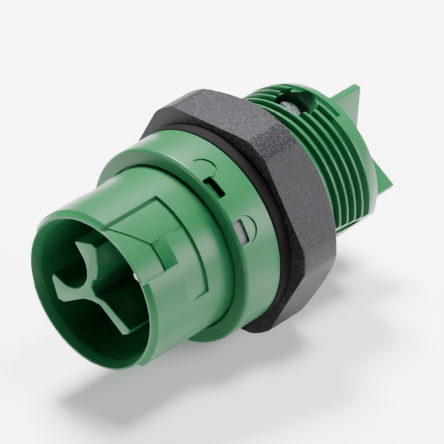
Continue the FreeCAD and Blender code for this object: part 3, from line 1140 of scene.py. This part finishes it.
@dataclass
class Divider:
    """Rear insert with clamp pockets, wire funnels and three wings."""

    body_r: float = 9.1
    front: float = 20.71
    rear: float = 28.51
    pocket_half: float = 2.75
    pocket_side: Point = (-2.95, 3.55)
    pocket_rear: float = 27.56
    hole_r: float = 2.75
    funnel_y: float = 27.51
    funnel: Point = (1.85, 3.2)
    wing_angles: tuple[float, ...] = (85.5, 205.5, 325.5)
    wing_r: float = 8.8
    wing_end: float = 36.91
    wing_thickness: float = 1.3
    edge_r: float = 0.22
    nose: Point = (8.8, 9.4)
    nose_ends: Point = (27.26, 28.16)
    nose_half: float = 10.0

    def wing(self, angle: float) -> Object:
        """Build one wing with rounded edges."""
        reach, end, half = self.wing_r, self.wing_end, self.wing_thickness / 2
        outline = oblong((0.0, self.funnel_y), (reach, end))
        made = prism("wing", outline, crossing(angle), (-half, half))

        def outer(middle: Vector) -> bool:
            """Whether an edge lies on the wing's outer or rear side."""
            return middle.dot(outward(angle)) > reach - NEAR or middle.y > end - NEAR

        return edges_rounded(made, self.edge_r, outer)

    def build(self) -> Object:
        """Build the divider.

        Returns:
            The closed divider.
        """
        body, rear = self.body_r, self.rear
        made = capped("wire_divider_insert", [(body, self.front), (body, rear - 0.15), (body - 0.15, rear)])
        half = self.nose_half
        spans = [(pole.value - half, pole.value + half) for pole in Pole]
        worked(made, Cut.ONTO, [sector("nose", self.nose, self.nose_ends, span) for span in spans])
        tools = []
        pocket = oblong((-self.pocket_half, self.front - 1), (self.pocket_half, self.pocket_rear))
        depth = (self.pocket_side[1] - 0.3, BEYOND)
        for pole in Pole:
            axes = pole.screw_axes
            tools.append(prism("pocket", pocket, axes, self.pocket_side, pole.place))
            tools.append(prism("hole", circle(self.hole_r, 56), axes, depth, pole.place + Y * SCREW_Y))
            tools.append(self.funnel_cutter(pole.place))
        worked(made, Cut.AWAY, tools)
        return worked(made, Cut.ONTO, [self.wing(angle) for angle in self.wing_angles])

    def funnel_cutter(self, place: Vector) -> Object:
        """Cutter that opens a wire hole towards the rear."""
        narrow, wide = self.funnel
        beyond = wide + (wide - narrow) * 0.5
        profile = [(narrow, self.funnel_y), (wide, self.rear), (beyond, self.rear + 0.5)]
        made = capped("funnel", profile, 56)
        made.data.transform(Matrix.Translation(place * MM))
        return made


@dataclass
class ClampScrew:
    """Slotted clamp screw with a domed, softly turned head and a threaded shank."""

    pole: Pole
    shank_start: float = 1.72
    head_start: float = 6.12
    head_end: float = 7.72
    head_r: float = 2.0
    shank_r: float = 1.5
    slot: Point = (0.7, 0.9)
    pitch: float = 0.5
    thread_depth: float = 0.3
    crest_width: float = 0.08
    root_width: float = 0.44

    def build(self, thread: ThreadTree, finish: Material) -> Object:
        """Build the screw.

        Args:
            thread: Tree that winds its thread.
            finish: Material of the screw.

        Returns:
            The closed screw at its pole.
        """
        head = self.head_r
        profile = [
            (self.shank_r - 0.45, self.shank_start),
            (self.shank_r - 0.2, self.shank_start + 0.25),
            (self.shank_r - 0.2, self.head_start),
            (head - 0.08, self.head_start),
            (head, self.head_start + 0.08),
            (head, self.head_end - 0.35),
            (head - 0.06, self.head_end - 0.16),
            (head - 0.2, self.head_end - 0.05),
            (head - 0.5, self.head_end),
        ]
        made = capped(f"{self.pole.label}_clamp_screw_turned", profile, 72)
        turns = (self.head_start - self.shank_start) / self.pitch - 1
        sizes = {
            "Crest radius": self.shank_r,
            "Root radius": self.shank_r - self.thread_depth,
            "Crest width": self.crest_width,
            "Root width": self.root_width,
            "Pitch": self.pitch,
            "Start": self.shank_start + 0.4,
            "Turns": turns,
            "Run-in turns": 0.5,
            "Steps": int(40 * turns),
            "Section points": 8,
        }
        ridge = thread.wound("screw_thread", sizes, finish)
        half, reach = self.slot[0] / 2, 1.5 * head
        slot = oblong((-reach, -half), (reach, half))
        depth = (self.head_end - self.slot[1], self.head_end + 1)
        worked(made, Cut.AWAY, [prism("slot", slot, (X, Z, Y), depth)])
        worked(made, Cut.ONTO, [ridge])
        out, _, along = self.pole.screw_axes
        made.data.transform(pose((out, along, out.cross(along)), self.pole.place + Y * SCREW_Y))
        return made


# Studio


@dataclass(frozen=True)
class Lamp:
    """Soft square light: its place and width in millimetres and its power in watts."""

    name: str
    place: tuple[float, float, float]
    size: float
    power: float


@dataclass
class Studio:
    """Pale floor, soft lights and the camera."""

    azimuth: float = 43.181
    elevation: float = 33.291
    roll: float = -0.486
    distance: float = 551.302
    shift_right: float = -1.051
    shift_up: float = 0.265
    target_y: float = 8.81
    lens: float = 335.12
    floor_z: float = -17.3
    floor_half: float = 900.0
    sky: tuple[float, float, float, float] = (0.95, 0.96, 0.97, 1.0)
    sky_strength: float = 0.06
    lamps: tuple[Lamp, ...] = (
        Lamp("key", (-150, 90, 310), 100, 7.6),
        Lamp("front", (-180, -420, 45), 120, 2.0),
        Lamp("side", (280, 235, 95), 160, 2.5),
        Lamp("top", (80, 50, 350), 90, 2.6),
    )

    def camera(self) -> None:
        """Place the camera at the photograph's angle."""
        a, e, r = (math.radians(v) for v in (self.azimuth, self.elevation, self.roll))
        back = Vector((math.sin(a) * math.cos(e), -math.cos(a) * math.cos(e), math.sin(e)))
        right = Vector((math.cos(a), math.sin(a), 0))
        up = back.cross(right)
        place = back * self.distance - right * self.shift_right - up * self.shift_up + Y * self.target_y
        right, up = right * math.cos(r) + up * math.sin(r), up * math.cos(r) - right * math.sin(r)
        lens = bpy.data.cameras.new("camera")
        lens.lens = self.lens
        lens.sensor_width = 36
        lens.clip_start = 0.01
        made = bpy.data.objects.new("camera", lens)
        made.matrix_world = pose((right, up, back), place)
        bpy.context.scene.collection.objects.link(made)
        bpy.context.scene.camera = made

    def light(self, lamp: Lamp) -> None:
        """Place a light that looks at the connector.

        Args:
            lamp: The light.
        """
        source = bpy.data.lights.new(lamp.name, "AREA")
        source.size = lamp.size * MM
        source.energy = lamp.power
        made = bpy.data.objects.new(lamp.name, source)
        place = Vector(lamp.place)
        aim = (place - Y * self.target_y).to_track_quat("Z", "Y")
        made.matrix_world = Matrix.Translation(place * MM) @ aim.to_matrix().to_4x4()
        bpy.context.scene.collection.objects.link(made)

    def build(self) -> None:
        """Set up the floor, the lights and the camera."""
        half, top = self.floor_half, self.floor_z
        floor = prism("floor", oblong((-half, -half), (half, half)), (X, Y, Z), (top - 10, top))
        floor.data.materials.append(MATT_PAPER.material())
        world = bpy.data.worlds.new("studio")
        world.use_nodes = True
        ground = world.node_tree.nodes["Background"]
        ground.inputs["Color"].default_value = self.sky
        ground.inputs["Strength"].default_value = self.sky_strength
        bpy.context.scene.world = world
        for lamp in self.lamps:
            self.light(lamp)
        self.camera()


def main() -> None:
    """Load the frame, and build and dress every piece."""
    logging.basicConfig(level=logging.INFO, format="%(message)s")
    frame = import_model()
    green = GREEN_POLYAMIDE.material()
    zinc = ZINC_PLATE.material()
    thread = ThreadTree()

    tube = Tube()
    for piece in (Shroud().build(), Collar().build(), tube.build(), tube.ridges(thread, green)):
        dressed(piece, green, "shell", ["housing"])
    dressed(Carrier().build(), green, "shell", ["contact_carrier"])
    dressed(Divider().build(), green, "shell", ["wire_divider"])
    dressed(Gasket().build(), GASKET_RUBBER.material(), "shell", ["panel_gasket"])
    dressed(LockNut().build(), BLACK_POLYAMIDE.material(), "nut", ["lock_nut"])
    for pole in Pole:
        screw = ClampScrew(pole).build(thread, zinc)
        dressed(screw, zinc, f"{pole.label}_screw", [f"{pole.label}_clamp_screw"])

    kept = {"carrier_seal": SEAL_RUBBER.material(), "lock_slide": GREY_ACETAL.material()}
    parts = {"pin": SILVERED_BRASS, "clamp_body": NICKEL_PLATE, "wire_guard": SPRING_STEEL}
    metals = {part: finish.material() for part, finish in parts.items()}
    kept |= {f"{pole.label}_{part}": metal for pole in Pole for part, metal in metals.items()}
    for name, finish in kept.items():
        node = frame["nodes"][name]
        for place in node.material_slots:
            place.material = finish
        LOG.info("%s: finish %s", name, finish.name)

    Studio().build()


if __name__ == "__main__":
    main()
